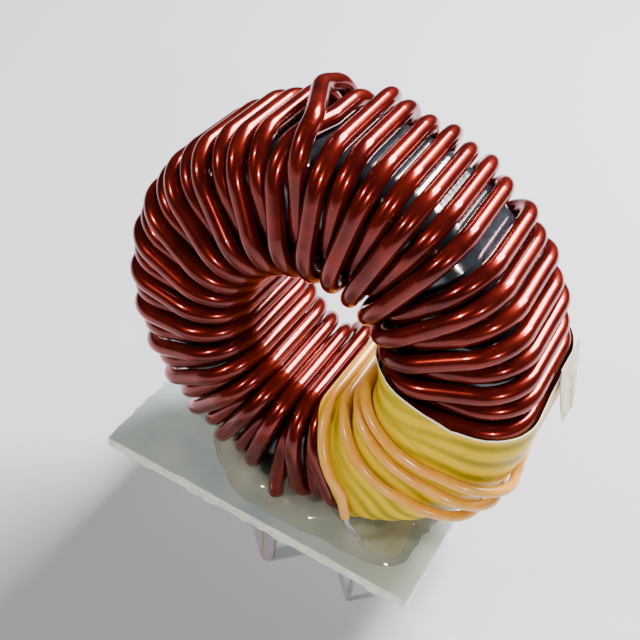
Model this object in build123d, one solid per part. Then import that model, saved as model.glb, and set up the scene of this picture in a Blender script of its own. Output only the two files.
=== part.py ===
from build123d import *
from math import cos, exp, hypot, pi, radians, sin, sqrt
import os

# A toroidal inductor on its mounting board. Millimetres, +Z up.
# The ring stands on edge: its axis lies along Y, and its front face looks along -Y.
# An azimuth is the angle round the ring, in degrees from the top towards +X.
# The origin is on the floor that the lead ends stand on. The shapes are drawn with it below
# the ring's centre and are moved at the end so that it is below the middle of their box.

# Core ring
core_outer_dia = 47.0
core_bore_dia = 25.0
core_height = 15.0
core_edge_radius = 4.0

# Main winding
wire_dia = 2.0
wire_clearance = 0.1
turn_gap = 0.1
bore_bend = 5.0
first_turn_gap = 9.5
last_turn_gap = 9.0
rim_skew = 1.2
bore_skew = 1.5
upper_lift_slack = 0.35
lead_azimuth = 184.0
lead_bend = 5.0
crossover_bend = 4.0
hand_slack = 0.45

# The loose place in the rim at the upper right, and the crossed pair at the top
loose_azimuth = 38.0
loose_extra = 1.8
loose_reach = 16.0
crossing_azimuth = 346.0
crossing_back_y = 2.5
crossing_front_y = -5.0
crossing_dip_y = -0.5
crossing_knee_radius = 20.5

# Lead ends: dipped in solder below the board, the thick wire stripped a little above it too
lead_length = 10.5
stripped_dia = 1.9
stripped_rise = 1.4
solder_thickness = 0.03
solder_stop = 1.1
solder_taper = 0.6
lead_tip_taper = 0.15
front_lead_x = -0.95
front_lead_y = -9.4
rear_lead_x = -9.0
rear_lead_y = 11.0
rear_lead_lift = 2.1

# Base board
board_length = 44.5
board_width = 26.8
board_thickness = 1.6
board_centre_x = -2.35
board_corner_radius = 1.6
hole_clearance = 0.15
seat_gap = 0.3

# Tape over the turns of the lower right
tape_thickness = 0.3
tape_gap = 0.1
tape_top_azimuth = 86.0
tape_end_azimuth = 157.0
tape_bore_top_azimuth = 64.0
tape_bore_end_azimuth = 166.0
tape_lip_radius = 9.6
tape_fan_radius = 18.5
tape_curve_radius = 13.0
tape_curve_azimuth = 76.5

# Loose end of the tape
tail_width = 6.0
tail_thickness = 0.35
tail_centre_y = 3.5
tail_root_azimuth = 81.0
tail_tip_azimuth = 97.0
tail_stand_off = 2.0

# Thin insulated winding over the tape
insulation_dia = 1.2
conductor_dia = 0.65
sleeve_gap = 0.02
aux_gap = 0.12
aux_back_azimuths = [157.0, 147.5, 138.0, 128.5]
aux_lip_azimuths = [153.0, 132.0, 110.0, 97.0]
aux_face_azimuths = [150.5, 128.5, 114.5, 106.5]
aux_rim_azimuths = [155.0, 118.0, 110.5, 103.0]
aux_rim_slant = 15.0
aux_face_radius = 17.5
aux_front_x = 11.4
aux_front_y = -9.2
aux_rear_x = 12.0
aux_rear_y = 11.9
aux_foot_radius = 23.0
aux_foot_rise = 0.8
aux_foot_bend = 1.2
aux_sway_bend = 5.0
aux_rim_slack = 0.8
aux_crossing_lift = 1.45
aux_crossing_bend = 1.6
front_bare_length = 1.5
rear_bare_length = 3.5

# Glue round the foot
glue_length = 34.0
glue_width = 24.0
glue_centre_x = 1.5
glue_height = 1.5
glue_slope = 4.0
glue_corner_radius = 9.0
glue_gap = 0.06

# Places that follow from the sizes above
board_top = lead_length + board_thickness
wire_radius = wire_dia / 2
rim_bend = core_edge_radius + wire_clearance + wire_radius
rim_radius = core_outer_dia / 2 + wire_clearance + wire_radius
face_y = core_height / 2 + wire_clearance + wire_radius
lower_bore_radius = core_bore_dia / 2 - wire_clearance - wire_radius
ring_centre_z = board_top + seat_gap + rim_radius + wire_radius
ring_axis = Axis((0, 0, ring_centre_z), (0, 1, 0))
ring_section_plane = Plane(origin=(0, 0, ring_centre_z), x_dir=(0, 0, 1), z_dir=(-1, 0, 0))
wire_spacing = wire_dia + turn_gap


def upper_bore_radius(pairs):
    """Radius of the bore's second layer, nested between the wires of the first."""
    half_slot = pi / pairs
    across = lower_bore_radius * sin(half_slot)
    return lower_bore_radius * cos(half_slot) - sqrt(max(wire_spacing**2 - across**2, 0))


def pairs_that_fit():
    """Most pairs of turns that lie side by side in the second layer."""
    pairs = 4
    while 2 * upper_bore_radius(pairs + 1) * sin(pi / (pairs + 1)) >= wire_spacing:
        pairs += 1
    return pairs


turn_pairs = pairs_that_fit()
turns = 2 * turn_pairs
bore_step = 360 / turns
rim_step = (360 - first_turn_gap - last_turn_gap) / (turns - 2)
layer_radii = [lower_bore_radius, upper_bore_radius(turn_pairs)]
upper_lift = wire_spacing + upper_lift_slack
layer_lifts = [0, upper_lift]
face_slope = upper_lift / (rim_radius - layer_radii[1])
crossing_turn = 1 + round((crossing_azimuth - lead_azimuth - first_turn_gap) / rim_step)


def ring_point(radius, azimuth, y):
    angle = radians(azimuth)
    return Vector(radius * sin(angle), y, ring_centre_z + radius * cos(angle))


def bore_azimuth(turn):
    return lead_azimuth + turn * bore_step


def rim_azimuth(turn):
    """Where a turn crosses the rim's front edge, with the slack of winding by hand."""
    even = lead_azimuth + first_turn_gap + (turn - 1) * rim_step
    slack = hand_slack * sin(2.4 * turn) * sin(0.7 * turn)
    away = (even - loose_azimuth - 360 + 180) % 360 - 180
    side = 1 if away > 0 else -1
    return even + slack + side * loose_extra * exp(-abs(away) / loose_reach)


def rim_run(turn):
    """Corners of one run along the rim, from the back face to the front face."""
    back, front = rim_azimuth(turn) - rim_skew, rim_azimuth(turn)
    between = []
    if turn == crossing_turn:
        front = rim_azimuth(turn + 1)
        over = rim_radius + wire_spacing
        between = [
            (ring_point(over, back, crossing_back_y), crossover_bend),
            (ring_point(over, front, crossing_front_y), crossover_bend),
        ]
    if turn == crossing_turn + 1:
        front = rim_azimuth(turn - 1)
        between = [(ring_point(rim_radius, back, crossing_dip_y), crossover_bend)]
    return [
        (ring_point(rim_radius, back, face_y), rim_bend),
        *between,
        (ring_point(rim_radius, front, -face_y), rim_bend),
    ]


def bore_run(turn):
    """Corners of one run through the bore, from the front face to the back face."""
    crossed = turn in (crossing_turn, crossing_turn + 1)
    slot = 2 * crossing_turn + 1 - turn if crossed else turn
    layer = slot % 2
    radius = layer_radii[layer]
    height = face_y + layer_lifts[layer]
    bend = bore_bend if layer else rim_bend
    front, back = bore_azimuth(slot), bore_azimuth(slot) + bore_skew
    corners = [(ring_point(radius, front, -height), bend), (ring_point(radius, back, height), bend)]
    if crossed and layer:
        knee_azimuth = (back + rim_azimuth(turn + 1)) / 2
        corners.append((ring_point(crossing_knee_radius, knee_azimuth, height), crossover_bend))
    return corners


def wire_path(corners):
    """Straight runs joined by tangent arcs, one arc for each inner corner."""
    points = [point for point, bend in corners]
    bends = [bend for point, bend in corners[1:-1]]
    return FilletPolyline(*points, radius=bends)


def tube(path, section_dia):
    """Round section swept along a path."""
    start = Plane(origin=path @ 0, z_dir=path % 0)
    return sweep(start * Circle(section_dia / 2), path=path)


def sleeve(path, section_dia, hole_dia):
    """Hollow tube along a path: an outer and an inner wall, closed by a ring at each end."""
    ring = Circle(section_dia / 2) - Circle(hole_dia / 2)
    walls = [
        face
        for dia in (section_dia, hole_dia)
        for face in tube(path, dia).faces()
        if face.geom_type != GeomType.PLANE
    ]
    ends = [(Plane(origin=path @ at, z_dir=path % at) * ring).face() for at in (0, 1)]
    return Solid(Shell(walls + ends))


def main_winding_corners():
    """The whole wire between the two places where its enamel is stripped."""
    stripped_z = board_top + stripped_rise
    bend_z = stripped_z + wire_dia
    corners = [
        (Vector(front_lead_x, front_lead_y, stripped_z), 0),
        (Vector(front_lead_x, front_lead_y, bend_z), lead_bend),
    ]
    corners += bore_run(0)
    for turn in range(1, turns):
        corners += rim_run(turn) + bore_run(turn)
    last_corner, last_bend = corners.pop()
    corners.append((last_corner + Vector(0, rear_lead_lift, 0), last_bend))
    corners.append((Vector(rear_lead_x, rear_lead_y, bend_z), lead_bend))
    corners.append((Vector(rear_lead_x, rear_lead_y, stripped_z), 0))
    return corners


def lead_end(x, y, bare_dia, top):
    """Straight lead up from the floor, dipped in solder below the board, with a tapered tip."""
    tip = bare_dia * lead_tip_taper
    bare, dipped = bare_dia / 2, bare_dia / 2 + solder_thickness
    solder_top = lead_length - solder_stop
    half = Plane.XZ * make_face(Polyline(
        (0, 0),
        (dipped - tip, 0),
        (dipped, tip),
        (dipped, solder_top),
        (bare, solder_top + solder_taper),
        (bare, top),
        (0, top),
        close=True,
    ))
    return Pos(x, y, 0) * revolve(half, axis=Axis.Z)


def winding_section(offset):
    """Section of the whole winding at one azimuth, grown by an offset."""
    grown = wire_radius + offset
    slant = hypot(1, face_slope)
    outer, inner = rim_radius + grown, layer_radii[1] - grown
    outer_y = face_y + grown * (slant - face_slope)
    inner_y = face_y + upper_lift + grown * (slant + face_slope)
    corners = [(outer, outer_y), (outer, -outer_y), (inner, -inner_y), (inner, inner_y)]
    radii = [rim_bend + grown, rim_bend + grown, bore_bend + grown, bore_bend + grown]
    return make_face(FilletPolyline(*corners, radius=radii, close=True))


def around_ring(section, start_azimuth, end_azimuth):
    placed = (ring_section_plane * section).rotate(ring_axis, start_azimuth)
    return revolve(placed, axis=ring_axis, revolution_arc=end_azimuth - start_azimuth)


def core():
    section = RectangleRounded((core_outer_dia - core_bore_dia) / 2, core_height, core_edge_radius)
    section = Pos((core_outer_dia + core_bore_dia) / 4, 0) * section
    return around_ring(section, 0, 360)


def across_ring(curve, beyond):
    """Prism right across the ring, from a curve on the face to an azimuth beyond it."""
    far = core_outer_dia
    inner, middle, outer = [ring_point(radius, azimuth, core_height * 2) for radius, azimuth in curve]
    outline = [
        ThreePointArc(inner, middle, outer),
        Polyline(
            outer,
            ring_point(far, curve[2][1], core_height * 2),
            ring_point(far, curve[0][1] + beyond, core_height * 2),
            ring_point(curve[0][0], curve[0][1] + beyond, core_height * 2),
            inner,
        ),
    ]
    return extrude(make_face(outline), amount=core_height * 4, dir=(0, -1, 0))


def tape_wrap():
    band = winding_section(tape_gap + tape_thickness) - winding_section(tape_gap)
    wrap = around_ring(band, tape_bore_top_azimuth, tape_bore_end_azimuth)
    top = [
        (tape_lip_radius, tape_bore_top_azimuth),
        (tape_curve_radius, tape_curve_azimuth),
        (tape_fan_radius, tape_top_azimuth),
    ]
    end = [
        (tape_lip_radius, tape_bore_end_azimuth),
        ((tape_lip_radius + tape_fan_radius) / 2, (tape_bore_end_azimuth + tape_end_azimuth) / 2 - 1),
        (tape_fan_radius, tape_end_azimuth),
    ]
    return wrap - across_ring(top, -20) - across_ring(end, 20)


def tape_tail():
    """Loose end of the tape: a curled strip that stands off at its tip."""
    inner = rim_radius + wire_radius + tape_gap + tape_thickness + aux_gap
    middle_azimuth = (tail_root_azimuth + tail_tip_azimuth) / 2
    y = tail_centre_y + tail_width / 2

    def curl(extra):
        return [
            ring_point(inner + extra, tail_root_azimuth, y),
            ring_point(inner + extra + tail_stand_off / 4, middle_azimuth, y),
            ring_point(inner + extra + tail_stand_off, tail_tip_azimuth, y),
        ]

    near, out = curl(0), curl(tail_thickness)
    edges = [
        ThreePointArc(*near),
        Line(near[2], out[2]),
        ThreePointArc(*reversed(out)),
        Line(out[0], near[0]),
    ]
    return extrude(make_face(edges), amount=tail_width, dir=(0, -1, 0))


aux_offset = tape_gap + tape_thickness + aux_gap + insulation_dia / 2
aux_grown = wire_radius + aux_offset
aux_rim_radius = rim_radius + aux_grown
aux_corner_radius = aux_rim_radius / cos(radians(aux_rim_slant / 2))
aux_bore_radius = layer_radii[1] - aux_grown
aux_rim_bend = rim_bend + aux_grown - aux_rim_slack


def aux_height(radius):
    """How far from the ring's middle plane the thin wire lies on the taped face."""
    return face_y + face_slope * (rim_radius - radius) + aux_grown * hypot(1, face_slope)


def aux_face_point(radius, azimuth, side):
    return ring_point(radius, azimuth, side * aux_height(radius))


def aux_pass(number):
    """Corners of one pass up the front face and back through the bore."""
    return [
        (aux_face_point(aux_face_radius, aux_face_azimuths[number], -1), aux_sway_bend),
        (aux_face_point(aux_bore_radius, aux_lip_azimuths[number], -1), bore_bend + aux_grown),
        (aux_face_point(aux_bore_radius, aux_back_azimuths[number], 1), bore_bend + aux_grown),
    ]


def aux_return(number):
    """Corners of the slanted run round the rim that leads to the next pass."""
    front = aux_rim_azimuths[number]
    return [
        (aux_face_point(aux_corner_radius, front + aux_rim_slant, 1), aux_rim_bend),
        (aux_face_point(aux_corner_radius, front, -1), aux_rim_bend),
    ]


def aux_corners():
    foot_z = board_top + aux_foot_rise
    corners = [
        (Vector(aux_front_x, aux_front_y, lead_length), 0),
        (Vector(aux_front_x, aux_front_y, foot_z), aux_foot_bend),
        (aux_face_point(aux_foot_radius, aux_rim_azimuths[0], -1), aux_sway_bend),
    ]
    corners += aux_pass(0)
    for number in range(1, len(aux_lip_azimuths)):
        corners += aux_return(number) + aux_pass(number)
    last_corner = corners.pop()[0]
    corners.append((last_corner + Vector(0, aux_crossing_lift, 0), aux_crossing_bend))
    corners.append((Vector(aux_rear_x, aux_rear_y, foot_z), aux_foot_bend))
    corners.append((Vector(aux_rear_x, aux_rear_y, lead_length), 0))
    return corners


def insulated_corners():
    """The part of the thin wire that keeps its insulation, cut on two straight runs."""
    corners = aux_corners()
    start, after = corners[2][0], corners[3][0]
    end, before = corners[-2][0], corners[-3][0]
    start += (after - start).normalized() * front_bare_length
    end += (before - end).normalized() * rear_bare_length
    return [(start, 0)] + corners[3:-2] + [(end, 0)]


def base_board():
    board = Pos(board_centre_x, 0, board_top - board_thickness / 2) * Box(
        board_length, board_width, board_thickness
    )
    board = fillet(board.edges().filter_by(Axis.Z), board_corner_radius)
    main_hole = wire_radius + hole_clearance
    aux_hole = conductor_dia / 2 + hole_clearance
    holes = [
        (front_lead_x, front_lead_y, main_hole),
        (rear_lead_x, rear_lead_y, main_hole),
        (aux_front_x, aux_front_y, aux_hole),
        (aux_rear_x, aux_rear_y, aux_hole),
    ]
    for x, y, radius in holes:
        board -= Pos(x, y, board_top - board_thickness / 2) * Cylinder(radius, board_thickness * 2)
    return board


def adhesive_bead():
    """Low mound of glue, open where the winding and the leads pass through it."""
    top_length = glue_length - 2 * glue_slope
    top_width = glue_width - 2 * glue_slope
    foot = RectangleRounded(glue_length, glue_width, glue_corner_radius)
    crest = RectangleRounded(top_length, top_width, glue_corner_radius - glue_slope)
    place = Pos(glue_centre_x, 0, board_top)
    mound = loft([place * foot, place * Pos(0, 0, glue_height) * crest], ruled=True)
    reach = 50
    taped = winding_section(tape_gap + tape_thickness + glue_gap)
    mound -= around_ring(winding_section(glue_gap), 180 - reach, 180 + reach)
    mound -= around_ring(taped, tape_end_azimuth - reach, tape_end_azimuth + 1)
    main, aux = main_winding_corners(), aux_corners()
    for corners in (main[:3], main[-3:]):
        mound -= tube(wire_path(corners), wire_dia + 2 * glue_gap)
        foot = corners[0][0] if corners[0][1] == 0 else corners[-1][0]
        mound -= Pos(foot.X, foot.Y, board_top) * Cylinder(wire_radius + glue_gap, 2 * stripped_rise)
    for corners in (aux[:3], aux[-3:]):
        mound -= tube(wire_path(corners), conductor_dia + 2 * glue_gap)
    return mound


def report_tube(name, path, section_dia):
    """Round wire along a path; its volume is printed beside section times length."""
    wire = tube(path, section_dia)
    expected = path.length * pi * section_dia**2 / 4
    print(f"{name}: length {path.length:.0f}, volume {wire.volume:.1f}, expected {expected:.1f}")
    return wire


def build():
    os.makedirs("parts", exist_ok=True)
    bore = conductor_dia + 2 * sleeve_gap
    strip = board_top + stripped_rise
    winding = report_tube("main winding", wire_path(main_winding_corners()), wire_dia)
    winding += lead_end(front_lead_x, front_lead_y, stripped_dia, strip)
    winding += lead_end(rear_lead_x, rear_lead_y, stripped_dia, strip)
    thin_wire = report_tube("thin wire", wire_path(aux_corners()), conductor_dia)
    thin_wire += lead_end(aux_front_x, aux_front_y, conductor_dia, lead_length)
    thin_wire += lead_end(aux_rear_x, aux_rear_y, conductor_dia, lead_length)
    parts = {
        "core": core(),
        "main_winding": winding,
        "aux_conductor": thin_wire,
        "aux_insulation": sleeve(wire_path(insulated_corners()), insulation_dia, bore),
        "tape_wrap": tape_wrap(),
        "tape_tail": tape_tail(),
        "base_board": base_board(),
        "adhesive_bead": adhesive_bead(),
    }
    box = Compound(list(parts.values())).bounding_box()
    middle = box.center()
    print(f"box {box.size}, middle at {middle.X:.3f}, {middle.Y:.3f}, floor {box.min.Z:.3f}")
    for name, shape in parts.items():
        export_step(Pos(-middle.X, -middle.Y, 0) * shape, f"parts/{name}.step")


build()
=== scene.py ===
# %% [markdown]
# # A wound toroid, dressed
# The part is an inductor: a ring core wound with thick enamelled copper wire, standing on edge on a
# small milky board. Yellow tape covers the turns of one sector, and a thin insulated wire is wound
# over the tape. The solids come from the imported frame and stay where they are. This lesson adds a
# camera, light, finishes for the solids, and better shapes for what is soft or poured: the tape,
# its loose end, the glue and the board's sawn edge.

from math import atan2, cos, degrees, exp, hypot, pi, radians, sin

import bmesh
import bpy
from mathutils import Matrix, Vector, noise


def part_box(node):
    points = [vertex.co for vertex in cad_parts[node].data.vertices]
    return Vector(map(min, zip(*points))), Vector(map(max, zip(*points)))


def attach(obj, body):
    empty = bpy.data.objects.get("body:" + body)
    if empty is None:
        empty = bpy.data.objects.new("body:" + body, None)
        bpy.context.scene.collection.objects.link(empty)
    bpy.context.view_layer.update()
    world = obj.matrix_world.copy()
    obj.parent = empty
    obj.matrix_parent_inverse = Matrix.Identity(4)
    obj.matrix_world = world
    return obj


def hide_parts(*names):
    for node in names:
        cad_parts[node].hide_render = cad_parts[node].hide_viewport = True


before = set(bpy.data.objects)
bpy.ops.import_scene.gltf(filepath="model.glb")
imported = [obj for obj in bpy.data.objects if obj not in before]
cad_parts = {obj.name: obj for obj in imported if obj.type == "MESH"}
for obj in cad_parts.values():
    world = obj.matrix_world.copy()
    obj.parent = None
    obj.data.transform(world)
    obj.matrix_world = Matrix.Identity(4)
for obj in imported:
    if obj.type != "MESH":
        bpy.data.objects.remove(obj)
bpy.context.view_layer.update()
MM = 0.001
print("solids:", ", ".join(sorted(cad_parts)))

# %% [markdown]
# Every place is read from the solids, so the dressing follows them. The ring's centre is the middle
# of the core. The ring's axis lies along Y, and an azimuth is the angle round the ring in degrees,
# from the top towards +X.

# %% Places read from the solids
core_low, core_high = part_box("core")
board_low, board_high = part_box("base_board")
winding_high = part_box("main_winding")[1]
ring_centre = (core_low + core_high) / 2
board_top = board_high.z
board_middle = (board_low + board_high) / 2
rim_surface = winding_high.x - ring_centre.x


def ring_point(radius, azimuth, y):
    """A place given by its distance from the ring's axis, its azimuth and its depth along Y."""
    angle = radians(azimuth)
    return ring_centre + Vector((radius * sin(angle), y, radius * cos(angle)))


def polar(place):
    """The distance from the ring's axis and the azimuth of a place."""
    across = place - ring_centre
    return hypot(across.x, across.z), degrees(atan2(across.x, across.z)) % 360


print("ring centre", [round(v / MM, 2) for v in ring_centre], "rim at", round(rim_surface / MM, 2))

# %% [markdown]
# The camera stands where the photograph was taken: a little to the right of the front face and
# well above it, close to the part, with a slight roll. The three axes of the camera are worked out
# first, because its place is then a walk of known lengths along them.

# %% Camera
CAMERA_AZIMUTH = 24.429
CAMERA_ELEVATION = 41.423
CAMERA_ROLL = 8.201
CAMERA_DISTANCE = 114.3136 * MM
SENSOR_WIDTH = 36
FOCAL_PIXELS = 985.98
IMAGE_PIXELS = 640
AIM_PIXELS = (21.419, -9.073)


def camera_axes():
    """Right, up and back of the camera, with its roll."""
    azimuth, elevation, roll = map(radians, (CAMERA_AZIMUTH, CAMERA_ELEVATION, CAMERA_ROLL))
    right = Vector((cos(azimuth), sin(azimuth), 0))
    back = Vector((sin(azimuth) * cos(elevation), -cos(azimuth) * cos(elevation), sin(elevation)))
    up = back.cross(right)
    return cos(roll) * right + sin(roll) * up, cos(roll) * up - sin(roll) * right, back


def add_camera():
    right, up, back = camera_axes()
    aside = [pixels * CAMERA_DISTANCE / FOCAL_PIXELS for pixels in AIM_PIXELS]
    place = ring_centre + CAMERA_DISTANCE * back - aside[0] * right + aside[1] * up
    turn = Matrix((right, up, back)).transposed().to_4x4()
    camera = bpy.data.objects.new("camera", bpy.data.cameras.new("camera"))
    camera.data.sensor_width = SENSOR_WIDTH
    camera.data.lens = SENSOR_WIDTH * FOCAL_PIXELS / IMAGE_PIXELS
    camera.data.clip_start = 0.01
    camera.matrix_world = Matrix.Translation(place) @ turn
    bpy.context.scene.collection.objects.link(camera)
    bpy.context.scene.camera = camera
    return camera


camera = add_camera()
print("camera at", [round(v, 4) for v in camera.location])

# %% [markdown]
# A plain pale floor and soft lamps. A round wire mirrors a lamp as a bright line along its length,
# so the lamps' places decide where the wires shine. A broad lamp behind and above the ring draws the
# long pale streaks along the rim, and two small ones in front put the short sparks on the bends.

# %% Floor and lamps
def add_floor():
    bpy.ops.object.select_all(action="DESELECT")
    bpy.ops.mesh.primitive_plane_add(size=4, location=(0, 0, 0))
    floor = bpy.context.object
    floor.name = "floor"
    material = bpy.data.materials.new("pale floor")
    material.use_nodes = True
    shader = material.node_tree.nodes["Principled BSDF"]
    shader.inputs["Base Color"].default_value = (0.42, 0.43, 0.46, 1)
    shader.inputs["Roughness"].default_value = 0.7
    floor.data.materials.append(material)


def add_lamp(name, direction, distance, size, power, colour):
    """A rectangular lamp that looks at the ring's centre from a direction."""
    direction = Vector(direction).normalized()
    lamp = bpy.data.objects.new(name, bpy.data.lights.new(name, "AREA"))
    lamp.data.shape = "RECTANGLE"
    lamp.data.size, lamp.data.size_y = size
    lamp.data.energy = power
    lamp.data.color = colour
    turn = direction.to_track_quat("Z", "Y").to_matrix().to_4x4()
    lamp.matrix_world = Matrix.Translation(ring_centre + direction * distance) @ turn
    bpy.context.scene.collection.objects.link(lamp)


def add_world():
    world = bpy.data.worlds.new("soft room")
    world.use_nodes = True
    background = world.node_tree.nodes["Background"]
    background.inputs["Color"].default_value = (0.80, 0.84, 0.92, 1)
    background.inputs["Strength"].default_value = 0.07
    bpy.context.scene.world = world


add_floor()
add_world()
add_lamp("window behind", (0.20, 0.64, 0.74), 0.40, (0.24, 0.15), 9.5, (1.0, 0.97, 0.98))
add_lamp("lamp front left", (-0.50, -0.55, 0.67), 0.45, (0.035, 0.035), 1.5, (1.0, 0.92, 0.80))
add_lamp("lamp front right", (0.62, -0.62, 0.48), 0.50, (0.035, 0.035), 1.6, (1.0, 0.95, 0.88))
print("floor, world and three lamps")

# %% [markdown]
# Materials are node trees. Every one starts from Object coordinates, which on these pieces are
# metres in the part's own frame. The small helpers below keep each material short: one adds a node
# with its settings, one gives a new material with its shader.

# %% Material helpers
def add_node(tree, kind, **inputs):
    """A node of a kind, with its inputs set by name (underscores stand for spaces)."""
    node = tree.nodes.new(kind)
    for name, value in inputs.items():
        node.inputs[name.replace("_", " ")].default_value = value
    return node


def new_material(name, roughness, coat=0.0, coat_roughness=0.05, metallic=0.0, ior=1.5):
    material = bpy.data.materials.new(name)
    material.use_nodes = True
    tree = material.node_tree
    shader = tree.nodes["Principled BSDF"]
    shader.inputs["Roughness"].default_value = roughness
    shader.inputs["Metallic"].default_value = metallic
    shader.inputs["IOR"].default_value = ior
    shader.inputs["Coat Weight"].default_value = coat
    shader.inputs["Coat Roughness"].default_value = coat_roughness
    place = tree.nodes.new("ShaderNodeTexCoord").outputs["Object"]
    return material, tree, shader, place


def dress(node_name, material):
    """Gives a CAD solid its finish."""
    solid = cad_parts[node_name]
    solid.data.materials.clear()
    solid.data.materials.append(material)


# %% [markdown]
# Two effects come back in several finishes, so each is a node group. **Mottle** makes a soft cloudy
# mask. **Handling marks** makes fine scratches and specks: a mask for colour and roughness, and a
# height for the bump.

# %% Shader groups
def new_group(name, inputs, outputs):
    group = bpy.data.node_groups.new(name, "ShaderNodeTree")
    for label, kind, value in inputs:
        socket = group.interface.new_socket(label, in_out="INPUT", socket_type=kind)
        if value is not None:
            socket.default_value = value
    for label, kind in outputs:
        group.interface.new_socket(label, in_out="OUTPUT", socket_type=kind)
    return group, group.nodes.new("NodeGroupInput"), group.nodes.new("NodeGroupOutput")


def make_mottle():
    group, start, end = new_group(
        "mottle",
        [("Place", "NodeSocketVector", None), ("Patch Scale", "NodeSocketFloat", 200.0),
         ("Low", "NodeSocketFloat", 0.35), ("High", "NodeSocketFloat", 0.65)],
        [("Mask", "NodeSocketFloat")],
    )
    clouds = add_node(group, "ShaderNodeTexNoise", Detail=4.0, Roughness=0.6)
    spread = add_node(group, "ShaderNodeMapRange")
    group.links.new(start.outputs["Place"], clouds.inputs["Vector"])
    group.links.new(start.outputs["Patch Scale"], clouds.inputs["Scale"])
    group.links.new(clouds.outputs["Fac"], spread.inputs["Value"])
    group.links.new(start.outputs["Low"], spread.inputs["From Min"])
    group.links.new(start.outputs["High"], spread.inputs["From Max"])
    group.links.new(spread.outputs["Result"], end.inputs["Mask"])
    return group


def make_handling_marks():
    group, start, end = new_group(
        "handling marks",
        [("Place", "NodeSocketVector", None), ("Mark Scale", "NodeSocketFloat", 900.0),
         ("Rarity", "NodeSocketFloat", 0.62)],
        [("Mask", "NodeSocketFloat"), ("Height", "NodeSocketFloat")],
    )
    stretch = add_node(group, "ShaderNodeMapping", Scale=(1.0, 0.12, 1.0), Rotation=(0.3, 0.2, 0.5))
    fine = add_node(group, "ShaderNodeTexNoise", Detail=3.0, Roughness=0.7)
    cut = add_node(group, "ShaderNodeMapRange")
    cut.inputs["To Max"].default_value = 1.0
    top = add_node(group, "ShaderNodeMath")
    top.operation = "ADD"
    top.inputs[1].default_value = 0.08
    turn_over = add_node(group, "ShaderNodeMath")
    turn_over.operation = "MULTIPLY"
    turn_over.inputs[1].default_value = -1.0
    group.links.new(start.outputs["Place"], stretch.inputs["Vector"])
    group.links.new(stretch.outputs["Vector"], fine.inputs["Vector"])
    group.links.new(start.outputs["Mark Scale"], fine.inputs["Scale"])
    group.links.new(fine.outputs["Fac"], cut.inputs["Value"])
    group.links.new(start.outputs["Rarity"], cut.inputs["From Min"])
    group.links.new(start.outputs["Rarity"], top.inputs[0])
    group.links.new(top.outputs["Value"], cut.inputs["From Max"])
    group.links.new(cut.outputs["Result"], end.inputs["Mask"])
    group.links.new(cut.outputs["Result"], turn_over.inputs[0])
    group.links.new(turn_over.outputs["Value"], end.inputs["Height"])
    return group


mottle_group = make_mottle()
marks_group = make_handling_marks()


def mottle(tree, place, patch_scale, low=0.35, high=0.65):
    node = add_node(tree, "ShaderNodeGroup")
    node.node_tree = mottle_group
    node.inputs["Patch Scale"].default_value = patch_scale
    node.inputs["Low"].default_value = low
    node.inputs["High"].default_value = high
    tree.links.new(place, node.inputs["Place"])
    return node.outputs["Mask"]


def handling_marks(tree, place, mark_scale, rarity):
    node = add_node(tree, "ShaderNodeGroup")
    node.node_tree = marks_group
    node.inputs["Mark Scale"].default_value = mark_scale
    node.inputs["Rarity"].default_value = rarity
    tree.links.new(place, node.inputs["Place"])
    return node.outputs["Mask"], node.outputs["Height"]


def mix_colour(tree, mask, first, second):
    """Two colours, or two colour sockets, mixed by a mask."""
    node = tree.nodes.new("ShaderNodeMix")
    node.data_type = "RGBA"
    tree.links.new(mask, node.inputs["Factor"])
    for label, value in (("A", first), ("B", second)):
        socket = [s for s in node.inputs if s.name == label and s.type == "RGBA"][0]
        if isinstance(value, tuple):
            socket.default_value = (*value, 1)
        else:
            tree.links.new(value, socket)
    return [s for s in node.outputs if s.type == "RGBA"][0]


def map_range(tree, source, low, high, to_low=0.0, to_high=1.0):
    node = add_node(tree, "ShaderNodeMapRange", To_Min=to_low, To_Max=to_high)
    node.inputs["From Min"].default_value = low
    node.inputs["From Max"].default_value = high
    tree.links.new(source, node.inputs["Value"])
    return node.outputs["Result"]


def bump(tree, shader, height, distance, strength):
    """Raises or sinks the surface by a height socket."""
    node = add_node(tree, "ShaderNodeBump", Strength=strength, Distance=distance)
    tree.links.new(height, node.inputs["Height"])
    tree.links.new(node.outputs["Normal"], shader.inputs["Normal"])


def noise_bump(tree, shader, place, distance, strength, **settings):
    """A fine uneven skin, from a noise with its own settings."""
    skin = add_node(tree, "ShaderNodeTexNoise", **settings)
    tree.links.new(place, skin.inputs["Vector"])
    bump(tree, shader, skin.outputs["Fac"], distance, strength)


def soften(shader, weight, radius, depth):
    """Lets light a little way in."""
    shader.inputs["Subsurface Weight"].default_value = weight
    shader.inputs["Subsurface Radius"].default_value = radius
    shader.inputs["Subsurface Scale"].default_value = depth


print("groups:", mottle_group.name, "and", marks_group.name)

# %% [markdown]
# The thick wire is copper under a clear red-brown enamel. Copper alone would be pink-orange and
# the enamel alone would be plastic, so the base is a dark red metal and the enamel is a coat.
# The lead ends are different: the enamel is stripped just above the board, and below it they are
# tinned grey. One wire is one solid, so heights above the floor decide between the three.

# %% Enamelled wire
ENAMEL_ENDS = board_top + 1.5 * MM
COPPER_STARTS = board_top + 1.2 * MM
TINNING_STARTS = board_top + 0.3 * MM
TINNING_FULL = board_top - 0.2 * MM


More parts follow.
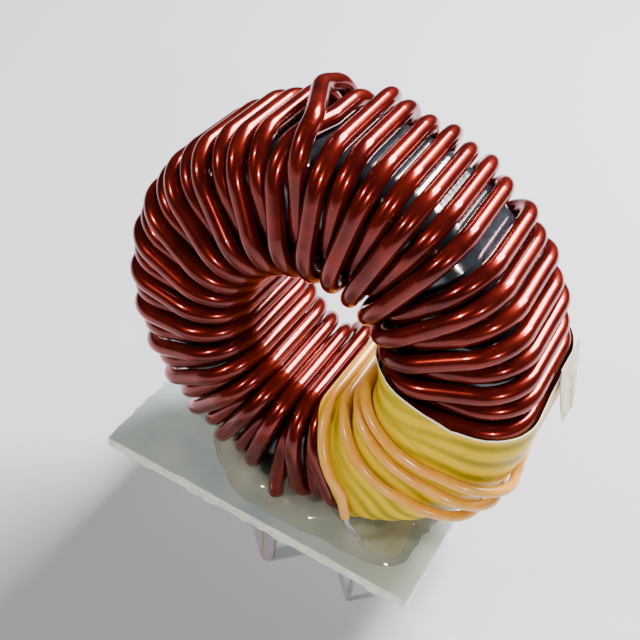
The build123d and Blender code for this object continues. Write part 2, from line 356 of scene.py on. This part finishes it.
def enamelled_wire():
    material, tree, shader, place = new_material(
        "enamelled copper wire", roughness=0.3, coat_roughness=0.08, metallic=0.7)
    shader.inputs["Coat Tint"].default_value = (1.0, 0.66, 0.60, 1)
    shader.inputs["Coat IOR"].default_value = 1.38
    shader.inputs["Specular Tint"].default_value = (0.9, 0.32, 0.26, 1)
    clouds = mottle(tree, place, 260.0)
    marks, height = handling_marks(tree, place, 900.0, 0.70)
    red = mix_colour(tree, clouds, (0.075, 0.006, 0.005), (0.17, 0.016, 0.010))
    worn = mix_colour(tree, marks, red, (0.42, 0.10, 0.06))
    split = add_node(tree, "ShaderNodeSeparateXYZ")
    tree.links.new(place, split.inputs["Vector"])
    z = split.outputs["Z"]
    bare = map_range(tree, z, ENAMEL_ENDS, COPPER_STARTS)
    tinned = map_range(tree, z, TINNING_STARTS, TINNING_FULL)
    enamel = map_range(tree, z, COPPER_STARTS, ENAMEL_ENDS, 0.0, 0.85)
    tree.links.new(enamel, shader.inputs["Coat Weight"])
    copper = mix_colour(tree, bare, worn, (0.80, 0.33, 0.16))
    finish = mix_colour(tree, tinned, copper, (0.52, 0.50, 0.52))
    tree.links.new(finish, shader.inputs["Base Color"])
    rough = map_range(tree, marks, 0.0, 1.0, 0.26, 0.5)
    tree.links.new(rough, shader.inputs["Roughness"])
    bump(tree, shader, height, 0.02 * MM, 0.6)
    return material


dress("main_winding", enamelled_wire())
print("the wire is enamelled, stripped and tinned")

# %% [markdown]
# The core shows only in the gaps between the turns: a slate-dark coating, smooth enough to mirror
# the window as a blue-white patch, with a faint orange-peel skin.

# %% Core coating
def core_coating():
    material, tree, shader, place = new_material("core coating", roughness=0.18, coat=1.0)
    clouds = mottle(tree, place, 300.0)
    tree.links.new(mix_colour(tree, clouds, (0.008, 0.010, 0.014), (0.028, 0.034, 0.044)),
                   shader.inputs["Base Color"])
    noise_bump(tree, shader, place, 0.05 * MM, 0.5, Scale=1400.0, Detail=2.0)
    return material


dress("core", core_coating())
print("the core is coated")

# %% [markdown]
# The thin wire's insulation is a soft peach silicone that light enters a little way, so it gets
# some subsurface scattering. Its conductor is tinned copper, dull and finely drawn.

# %% Thin wire
def peach_insulation():
    material, tree, shader, place = new_material("peach insulation", roughness=0.34, coat=0.3)
    soften(shader, 0.25, (1.0, 0.35, 0.08), 0.4 * MM)
    clouds = mottle(tree, place, 350.0)
    marks, height = handling_marks(tree, place, 800.0, 0.68)
    peach = mix_colour(tree, clouds, (0.66, 0.28, 0.018), (0.74, 0.36, 0.036))
    tree.links.new(mix_colour(tree, marks, peach, (0.62, 0.24, 0.05)), shader.inputs["Base Color"])
    bump(tree, shader, height, 0.02 * MM, 0.5)
    return material


def tinned_conductor():
    material, tree, shader, place = new_material("tinned conductor", roughness=0.42, metallic=0.9)
    clouds = mottle(tree, place, 900.0)
    height = handling_marks(tree, place, 1500.0, 0.6)[1]
    tree.links.new(mix_colour(tree, clouds, (0.42, 0.41, 0.44), (0.60, 0.58, 0.60)),
                   shader.inputs["Base Color"])
    bump(tree, shader, height, 0.02 * MM, 0.7)
    return material


dress("aux_insulation", peach_insulation())
dress("aux_conductor", tinned_conductor())
print("the thin wire is insulated")

# %% [markdown]
# The board is a milky glass laminate, a slab sawn by hand: its faces are flat and glossy, and its
# edges are pale, rough and slightly scalloped. A cube is scaled to the solid's box, its edges
# are cut into short lengths, and the rim's points are then pushed in by small uneven amounts.

# %% Board slab
BOARD_CORNER = 1.5 * MM
SAW_STEP = 0.8 * MM
SAW_DEPTH = 0.22 * MM
WORN_EDGE = 0.16 * MM


def start_piece(name):
    """Names the piece that the last operator made."""
    piece = bpy.context.object
    piece.name = piece.data.name = name
    return piece


def settle(piece):
    """Moves the piece's place into its mesh, so that its object stands at the origin."""
    bpy.ops.object.select_all(action="DESELECT")
    piece.select_set(True)
    bpy.context.view_layer.objects.active = piece
    bpy.ops.object.transform_apply(location=True, rotation=True, scale=True)


def apply_modifiers(piece):
    bpy.ops.object.select_all(action="DESELECT")
    piece.select_set(True)
    bpy.context.view_layer.objects.active = piece
    for modifier in list(piece.modifiers):
        bpy.ops.object.modifier_apply(modifier=modifier.name)


def round_board_corners(piece, radius):
    """Bevels the four upright edges in edit mode."""
    bpy.ops.object.mode_set(mode="EDIT")
    bpy.ops.mesh.select_all(action="DESELECT")
    bm = bmesh.from_edit_mesh(piece.data)
    for edge in bm.edges:
        along = edge.verts[0].co - edge.verts[1].co
        edge.select = abs(along.z) > 0.9 * along.length
    bmesh.update_edit_mesh(piece.data)
    bpy.ops.mesh.bevel(offset=radius, segments=5, affect="EDGES")
    bpy.ops.object.mode_set(mode="OBJECT")


def roughen_edge(piece, step, depth):
    """Cuts the rim into short lengths and pushes its points in unevenly."""
    bm = bmesh.new()
    bm.from_mesh(piece.data)
    long_edges = [e for e in bm.edges if abs((e.verts[0].co - e.verts[1].co).z) < 1e-6
                  and e.calc_length() > 2 * step]
    for edge in long_edges:
        bmesh.ops.subdivide_edges(bm, edges=[edge], cuts=int(edge.calc_length() / step))
    for vert in bm.verts:
        inward = (board_middle - vert.co) * Vector((1, 1, 0))
        bite = noise.noise(vert.co * 900) + 0.6 * noise.noise(vert.co * 2300)
        vert.co += inward.normalized() * depth * max(0.0, 0.4 + bite)
    bm.to_mesh(piece.data)
    bm.free()


def make_board():
    bpy.ops.object.select_all(action="DESELECT")
    bpy.ops.mesh.primitive_cube_add(size=1, location=board_middle, scale=board_high - board_low)
    board = start_piece("board_slab")
    settle(board)
    round_board_corners(board, BOARD_CORNER)
    roughen_edge(board, SAW_STEP, SAW_DEPTH)
    soft = board.modifiers.new("worn edge", "BEVEL")
    soft.width = WORN_EDGE
    soft.segments = 2
    soft.limit_method = "ANGLE"
    soft.angle_limit = radians(50)
    apply_modifiers(board)
    return board


board_slab = make_board()
print("board slab:", len(board_slab.data.polygons), "faces")

# %% [markdown]
# Light goes a little way into the laminate, which is why it looks milky: a pale grey-blue with
# some subsurface scattering under a glossy skin. The sawn edge is creamier and rougher. The
# edge is told from the face by how far the surface normal leans away from up.

# %% Laminate finish
def laminate():
    material, tree, shader, place = new_material("milky laminate", roughness=0.16, coat=0.8)
    soften(shader, 0.4, (0.8, 1.0, 1.0), 1.0 * MM)
    clouds = mottle(tree, place, 90.0)
    milky = mix_colour(tree, clouds, (0.30, 0.38, 0.40), (0.42, 0.49, 0.48))
    up = add_node(tree, "ShaderNodeSeparateXYZ")
    geometry = tree.nodes.new("ShaderNodeNewGeometry")
    tree.links.new(geometry.outputs["Normal"], up.inputs["Vector"])
    flat = add_node(tree, "ShaderNodeMath")
    flat.operation = "ABSOLUTE"
    tree.links.new(up.outputs["Z"], flat.inputs[0])
    sawn = map_range(tree, flat.outputs["Value"], 0.95, 0.4)
    edge = mottle(tree, place, 1500.0)
    cream = mix_colour(tree, edge, (0.58, 0.62, 0.52), (0.80, 0.82, 0.72))
    tree.links.new(mix_colour(tree, sawn, milky, cream), shader.inputs["Base Color"])
    tree.links.new(map_range(tree, sawn, 0.0, 1.0, 0.16, 0.6), shader.inputs["Roughness"])
    noise_bump(tree, shader, place, 0.03 * MM, 0.3, Scale=2600.0, Detail=2.0)
    return material


board_slab.data.materials.append(laminate())
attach(board_slab, "root")
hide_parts("base_board")
print("the board is dressed")

# %% [markdown]
# Yellow polyester film is wrapped over the turns of the lower right. It is thin and tight, so it
# shows the turns beneath as soft ridges, its upper edge runs in a curve from the bore to the rim,
# and a few creases cross it. A hand would wrap a strip, and a mesh does the same the other way
# round: the outline of the taped turns is drawn once, as a plane with rounded corners and no face,
# and spun about the ring's axis. The spun sheet is then pulled to the tape's two edges.

# %% Tape: the outline of the taped turns
FILM_OUTER_RADIUS = 25.98 * MM
FILM_BORE_RADIUS = 8.28 * MM
FILM_RIM_HALF_WIDTH = 9.78 * MM
FILM_BORE_HALF_WIDTH = 12.68 * MM
RIM_CORNER = 5.5 * MM
BORE_CORNER = 7.5 * MM
FILM_MIDDLE_RADIUS = (FILM_OUTER_RADIUS + FILM_BORE_RADIUS) / 2
SPIN_DEGREES = 100
SPIN_STEPS = 200
SECTION_STEP = 0.7 * MM
FILM_THICKNESS = 0.08 * MM


def radius_of(place):
    return polar(place)[0]


def round_corners(piece, reach, is_outer):
    """Bevels the outer or the inner pair of corners in edit mode."""
    bpy.ops.object.mode_set(mode="EDIT")
    bpy.ops.mesh.select_all(action="DESELECT")
    bm = bmesh.from_edit_mesh(piece.data)
    corners = sorted(bm.verts, key=lambda v: abs(v.co.y - ring_centre.y))[-4:]
    for vert in corners:
        vert.select = (radius_of(vert.co) > FILM_MIDDLE_RADIUS) == is_outer
    bm.select_flush(True)
    bmesh.update_edit_mesh(piece.data)
    bpy.ops.mesh.bevel(offset=reach, segments=14, affect="VERTICES")
    bpy.ops.object.mode_set(mode="OBJECT")


def taped_outline():
    """A plane through the ring's axis, at azimuth 0, with the section's four corners."""
    bpy.ops.object.select_all(action="DESELECT")
    spot = ring_point(FILM_MIDDLE_RADIUS, 0, 0)
    bpy.ops.mesh.primitive_plane_add(size=10 * MM, rotation=(0, pi / 2, 0), location=spot)
    sheet = start_piece("tape_skin")
    settle(sheet)
    for vert in sheet.data.vertices:
        is_outer = radius_of(vert.co) > FILM_MIDDLE_RADIUS
        radius = FILM_OUTER_RADIUS if is_outer else FILM_BORE_RADIUS
        half = FILM_RIM_HALF_WIDTH if is_outer else FILM_BORE_HALF_WIDTH
        side = 1 if vert.co.y > ring_centre.y else -1
        vert.co = ring_point(radius, 0, side * half)
    round_corners(sheet, RIM_CORNER, True)
    round_corners(sheet, BORE_CORNER, False)
    return sheet


def open_and_divide(sheet, step):
    """Deletes the face, keeps its outline, and cuts the straight stretches into short lengths."""
    bpy.ops.object.mode_set(mode="EDIT")
    bpy.ops.mesh.select_all(action="SELECT")
    bpy.ops.mesh.delete(type="ONLY_FACE")
    bpy.ops.object.mode_set(mode="OBJECT")
    bm = bmesh.new()
    bm.from_mesh(sheet.data)
    for edge in [e for e in bm.edges if e.calc_length() > 2 * step]:
        bmesh.ops.subdivide_edges(bm, edges=[edge], cuts=int(edge.calc_length() / step))
    bm.to_mesh(sheet.data)
    bm.free()


def spin_outline(sheet):
    bpy.ops.object.mode_set(mode="EDIT")
    bpy.ops.mesh.select_all(action="SELECT")
    turn = -radians(SPIN_DEGREES)
    bpy.ops.mesh.spin(steps=SPIN_STEPS, angle=turn, center=ring_centre, axis=(0, 1, 0))
    bpy.ops.mesh.select_all(action="SELECT")
    bpy.ops.mesh.normals_make_consistent(inside=False)
    bpy.ops.object.mode_set(mode="OBJECT")


tape_skin = taped_outline()
open_and_divide(tape_skin, SECTION_STEP)
spin_outline(tape_skin)
print("tape sheet:", len(tape_skin.data.polygons), "faces over", SPIN_DEGREES, "degrees")

# %% [markdown]
# The sheet now covers a plain sector. Each point keeps its share of the way round, and the share is
# spread between the tape's upper edge and its end, which are given as azimuths at a few radii.
# The ridges follow the turns: on the rim each turn shows, and near the bore only every other one,
# because the second layer lies there. The same wave is stored on the points for the finish.
# Radii in the tables are millimetres from the ring's axis, and azimuths are degrees.

# %% Tape: edges, ridges and creases
UPPER_EDGE = [(8.3, 62.0), (9.6, 66.0), (11.0, 71.5), (13.0, 76.5),
              (15.9, 82.0), (18.5, 85.8), (26.0, 87.0)]
LOWER_EDGE = [(8.3, 166.0), (9.4, 160.5), (11.0, 158.0), (16.0, 156.8), (26.0, 157.5)]
RAGGED_DEGREES = 0.35
BACK_SLANT_DEGREES = 8.0
BACK_SLANT_FROM = 19
BACK_SLANT_REACH = 5
TURNS = 56
RIM_TURN_START = 193.5
RIM_TURN_STEP = 6.324
BORE_TURN_START = 184.0
BORE_TURN_STEP = 360 / TURNS
BORE_WAVE_RADIUS = 10.0
RIM_WAVE_RADIUS = 20.0
RIDGE_DEPTH = 0.16 * MM
CREASE_DEPTH = 0.10 * MM
CREASE_WIDTH = 0.28
DEEPEST = 0.28 * MM
CREASES = [(11.5, 92.0, 19.0, 104.0), (15.0, 96.0, 24.0, 99.0), (17.0, 140.0, 24.5, 134.0),
           (12.0, 118.0, 16.0, 141.0), (20.0, 121.0, 25.0, 126.0)]


def clamp(share):
    return min(1.0, max(0.0, share))


def along_table(table, radius):
    """The azimuth at a radius in millimetres, from a short table."""
    for (r0, a0), (r1, a1) in zip(table, table[1:]):
        if radius <= r1:
            share = max(0.0, (radius - r0) / (r1 - r0))
            return a0 + (a1 - a0) * share
    return table[-1][1]


def turn_wave(radius, azimuth):
    """1 on a turn's crest and 0 between two turns."""
    near_rim = clamp((radius - BORE_WAVE_RADIUS) / (RIM_WAVE_RADIUS - BORE_WAVE_RADIUS))
    on_rim = (azimuth + 360 - RIM_TURN_START) / RIM_TURN_STEP + 1
    in_bore = (azimuth + 360 - BORE_TURN_START) / BORE_TURN_STEP
    turn = in_bore + (on_rim - in_bore) * near_rim
    each = 0.5 + 0.5 * cos(2 * pi * turn)
    other = 0.5 - 0.5 * cos(pi * turn)
    return other + (each - other) * near_rim


def on_face(radius, azimuth):
    """A place on the ring's face, seen along its axis, in millimetres."""
    return Vector((radius * sin(radians(azimuth)), radius * cos(radians(azimuth))))


def crease_depth(radius, azimuth):
    """Sum of the creases: each is a narrow furrow between two places on the face."""
    here = on_face(radius, azimuth)
    depth = 0.0
    for start_radius, start_azimuth, end_radius, end_azimuth in CREASES:
        start = on_face(start_radius, start_azimuth)
        end = on_face(end_radius, end_azimuth)
        share = (here - start).dot(end - start) / (end - start).length_squared
        if 0 < share < 1:
            aside = (here - start - (end - start) * share).length
            depth += exp(-((aside / CREASE_WIDTH) ** 2)) * sin(pi * share)
    return depth


def tape_edges(radius, depth):
    """Azimuths of the tape's two edges at a radius, and at a depth from the front (-1) to the back (1)."""
    ragged = RAGGED_DEGREES * noise.noise(Vector((radius * 0.9, depth * 5, 3.1)))
    to_the_back = clamp((depth + 0.7) / 1.4)
    slant = BACK_SLANT_DEGREES * to_the_back * clamp((radius - BACK_SLANT_FROM) / BACK_SLANT_REACH)
    return along_table(UPPER_EDGE, radius) - slant + ragged, along_table(LOWER_EDGE, radius) + ragged


def shape_tape(sheet):
    """Pulls the sheet to the tape's edges, then sinks it between the turns and along the creases."""
    bm = bmesh.new()
    bm.from_mesh(sheet.data)
    wave = bm.verts.layers.float.new("turn_wave")
    edge = bm.verts.layers.float.new("edge_distance")
    sinks = []
    for vert in bm.verts:
        radius, azimuth = polar(vert.co)
        depth = vert.co.y - ring_centre.y
        share = clamp(azimuth / SPIN_DEGREES) if azimuth < 180 else 0.0
        upper, lower = tape_edges(radius / MM, depth / FILM_RIM_HALF_WIDTH)
        azimuth = upper + (lower - upper) * share
        crest = turn_wave(radius / MM, azimuth)
        tight = 0.5 + 0.5 * noise.noise(vert.co * 260)
        ridges = RIDGE_DEPTH * (1 - crest) * tight
        sinks.append(min(DEEPEST, ridges + CREASE_DEPTH * crease_depth(radius / MM, azimuth)))
        vert[wave] = crest
        vert[edge] = radians(azimuth - upper) * radius / MM
        vert.co = ring_point(radius, azimuth, depth)
    bm.normal_update()
    for vert, sink in zip(bm.verts, sinks):
        vert.co -= vert.normal * sink
    bm.to_mesh(sheet.data)
    bm.free()


shape_tape(tape_skin)
film = tape_skin.modifiers.new("film", "SOLIDIFY")
film.thickness = FILM_THICKNESS
film.offset = -1
apply_modifiers(tape_skin)
bpy.ops.object.shade_smooth_by_angle(angle=radians(40))
print("tape film:", len(tape_skin.data.polygons), "faces")

# %% [markdown]
# The film is yellow. Where it bridges the gap between two turns its colour is painted a darker olive:
# painted shade in the valleys, partly also the clear film over the gap.
# Its cut upper edge looks white. Both come from the values stored on its points.

# %% Tape finish
def read_point_value(tree, name):
    node = tree.nodes.new("ShaderNodeAttribute")
    node.attribute_name = name
    return node.outputs["Fac"]


def yellow_film():
    material, tree, shader, place = new_material("yellow film", roughness=0.3, ior=1.2)
    clouds = mottle(tree, place, 130.0, 0.3, 0.7)
    crest = mix_colour(tree, clouds, (0.66, 0.42, 0.0), (0.76, 0.52, 0.0))
    # Painted shade: the valleys between the turns are coloured a much darker olive than the crests.
    valley_painted_shade = mix_colour(tree, clouds, (0.24, 0.18, 0.0), (0.42, 0.31, 0.0))
    wave = map_range(tree, read_point_value(tree, "turn_wave"), 0.0, 0.75)
    film_colour = mix_colour(tree, wave, valley_painted_shade, crest)
    cut = map_range(tree, read_point_value(tree, "edge_distance"), 0.26, 0.12)
    tree.links.new(mix_colour(tree, cut, film_colour, (0.93, 0.90, 0.74)), shader.inputs["Base Color"])
    marks = handling_marks(tree, place, 500.0, 0.64)[0]
    tree.links.new(map_range(tree, marks, 0.0, 1.0, 0.26, 0.42), shader.inputs["Roughness"])
    noise_bump(tree, shader, place, 0.10 * MM, 0.35, Scale=420.0, Detail=3.0, Distortion=0.6)
    return material


tape_skin.data.materials.append(yellow_film())
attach(tape_skin, "root")
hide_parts("tape_wrap")
print("the tape is dressed")

# %% [markdown]
# The tape's loose end stands off the rim at the right: a short strip, curled by its own
# stiffness, with its backing torn into a frayed lower edge. It starts as a fine plane. Its length
# is laid round the rim, lifted more and more, and the last rows are pulled to uneven lengths.

# %% Loose end of the tape
END_ROOT_AZIMUTH = 79.0
END_TIP_AZIMUTH = 97.0
END_WIDTH = 6.0 * MM
END_MIDDLE_Y = 3.5 * MM
END_STAND_OFF = 0.55 * MM
END_LIFT = 1.7 * MM
END_WARP = 0.35 * MM
END_FRAY = 0.12 * MM
END_THICKNESS = 0.12 * MM
END_ROWS = 36
END_COLUMNS = 30


def make_tape_end():
    bpy.ops.object.select_all(action="DESELECT")
    bpy.ops.mesh.primitive_grid_add(x_subdivisions=END_COLUMNS, y_subdivisions=END_ROWS, size=1)
    strip = start_piece("tape_end")
    settle(strip)
    for vert in strip.data.vertices:
        along, across = 0.5 - vert.co.y, vert.co.x
        torn = 0.16 * noise.noise(Vector((across * 9, 1.7, 0.4)))
        torn += 0.07 * noise.noise(Vector((across * 31, 0, 0)))
        narrow = 1 - 0.45 * along ** 3
        reach = along * (1 + torn * along ** 4 - 0.06)
        azimuth = END_ROOT_AZIMUTH + (END_TIP_AZIMUTH - END_ROOT_AZIMUTH) * reach
        curl = END_LIFT * reach ** 2 + END_WARP * across * reach * sin(6 * across)
        fray = END_FRAY * noise.noise(Vector((across * 16, along * 5, 2.0))) * along
        radius = rim_surface + END_STAND_OFF + curl + fray
        vert.co = ring_point(radius, azimuth, END_MIDDLE_Y + across * narrow * END_WIDTH)
    body = strip.modifiers.new("film", "SOLIDIFY")
    body.thickness = END_THICKNESS
    body.offset = 0
    apply_modifiers(strip)
    bpy.ops.object.shade_smooth_by_angle(angle=radians(50))
    return strip


def pale_film():
    material, tree, shader, place = new_material("pale film", roughness=0.45)
    soften(shader, 0.3, (1.0, 0.9, 0.6), 0.5 * MM)
    clouds = mottle(tree, place, 500.0)
    tree.links.new(mix_colour(tree, clouds, (0.42, 0.36, 0.22), (0.66, 0.60, 0.44)),
                   shader.inputs["Base Color"])
    noise_bump(tree, shader, place, 0.08 * MM, 0.5, Scale=2400.0, Detail=3.0)
    return material


tape_end = make_tape_end()
tape_end.data.materials.append(pale_film())
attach(tape_end, "root")
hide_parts("tape_tail")
print("loose end:", len(tape_end.data.polygons), "faces")

# %% [markdown]
# Clear glue was poured round the ring's foot and ran out over the board. It set as a glossy pool with
# a steep rounded rim, low swells on top, and small mounds where it climbed the leads. A grid is
# pressed into the pool's outline, raised by a few simple rules, and extruded down onto the board
# to close it. Each mound is given by its place from the ring's centre, its radius and its height,
# in millimetres.

# %% Glue pool
GLUE_HALF_LENGTH = 16.9 * MM
GLUE_HALF_WIDTH = 11.9 * MM
GLUE_HEIGHT = 1.45 * MM
GLUE_RIM = 0.08
GLUE_TONGUE = 0.20
GLUE_TONGUE_TURN = -0.78
GLUE_CELLS = (130, 96)
GLUE_FROM_CENTRE = 1.5
BROAD_SWELL = 0.34 * MM
FINE_SWELL = 0.20 * MM
SUNK = 0.02 * MM
GLUE_MOUNDS = [(-2.0, -9.6, 2.2, 0.8), (-6.5, -8.0, 3.0, 0.7), (6.0, -9.0, 2.6, 0.6),
               (10.5, -8.6, 1.8, 0.7), (-10.0, -3.0, 2.8, 0.6), (-9.5, 9.5, 2.4, 0.9),
               (12.5, 3.0, 3.0, 0.5), (3.0, 9.5, 3.2, 0.6)]
glue_low, glue_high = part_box("adhesive_bead")
glue_middle = (glue_low + glue_high) / 2
glue_middle.z = board_top


def pressed_to_pool(across, along):
    """A grid place (-1 to 1 each way) in the pool, and its share of the way from the middle."""
    round_x = across * (1 - along ** 2 / 2) ** 0.5
    round_y = along * (1 - across ** 2 / 2) ** 0.5
    share = hypot(round_x, round_y)
    turn = atan2(round_y, round_x)
    wander = Vector((cos(turn) * 1.3, sin(turn) * 1.3, 0.7))
    reach = 1.04 - 0.10 * abs(noise.noise(wander)) - 0.07 * abs(noise.noise(wander * 3))
    reach += GLUE_TONGUE * exp(-((turn - GLUE_TONGUE_TURN) / 0.30) ** 2)
    return Vector((round_x * GLUE_HALF_LENGTH, round_y * GLUE_HALF_WIDTH, 0)) * reach, share


def glue_swell(place, share):
    """Height of the glue: a steep rim, low swells and the mounds at the leads."""
    rim = (1 - exp(-max(0.0, 1 - share) / GLUE_RIM)) * GLUE_HEIGHT
    swell = BROAD_SWELL * noise.noise(place * 190) + FINE_SWELL * noise.noise(place * 480)
    mounds = 0.0
    for x, y, radius, height in GLUE_MOUNDS:
        away = hypot(place.x / MM + GLUE_FROM_CENTRE - x, place.y / MM - y) / radius
        mounds += height * MM * exp(-away ** 2)
    inside = clamp((1 - share) * 8)
    return max(0.0, rim + (swell + mounds) * inside)


def make_glue_pool():
    bpy.ops.object.select_all(action="DESELECT")
    columns, rows = GLUE_CELLS
    bpy.ops.mesh.primitive_grid_add(x_subdivisions=columns, y_subdivisions=rows, size=2)
    pool = start_piece("glue_pool")
    settle(pool)
    for vert in pool.data.vertices:
        place, share = pressed_to_pool(vert.co.x, vert.co.y)
        vert.co = glue_middle + place + Vector((0, 0, glue_swell(place, share)))
    bpy.ops.object.mode_set(mode="EDIT")
    bpy.ops.mesh.select_all(action="SELECT")
    bpy.ops.mesh.extrude_region_move(TRANSFORM_OT_translate={"value": (0, 0, 0)})
    bm = bmesh.from_edit_mesh(pool.data)
    for vert in bm.verts:
        if vert.select:
            vert.co.z = board_top - SUNK
    bmesh.update_edit_mesh(pool.data)
    bpy.ops.mesh.select_all(action="SELECT")
    bpy.ops.mesh.remove_doubles(threshold=1e-6)
    bpy.ops.mesh.normals_make_consistent(inside=False)
    bpy.ops.object.mode_set(mode="OBJECT")
    bpy.ops.object.shade_smooth_by_angle(angle=radians(60))
    return pool


def clear_glue():
    material, tree, shader, place = new_material(
        "clear glue", roughness=0.06, coat=1.0, coat_roughness=0.03, ior=1.48)
    shader.inputs["Transmission Weight"].default_value = 0.7
    clouds = mottle(tree, place, 160.0)
    tree.links.new(mix_colour(tree, clouds, (0.50, 0.54, 0.46), (0.74, 0.74, 0.62)),
                   shader.inputs["Base Color"])
    haze = mottle(tree, place, 420.0, 0.5, 0.75)
    tree.links.new(map_range(tree, haze, 0.0, 1.0, 0.05, 0.3), shader.inputs["Roughness"])
    noise_bump(tree, shader, place, 0.5 * MM, 0.5, Scale=380.0, Detail=2.0)
    return material


glue_pool = make_glue_pool()
glue_pool.data.materials.append(clear_glue())
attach(glue_pool, "root")
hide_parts("adhesive_bead")
print("glue pool:", len(glue_pool.data.polygons), "faces")
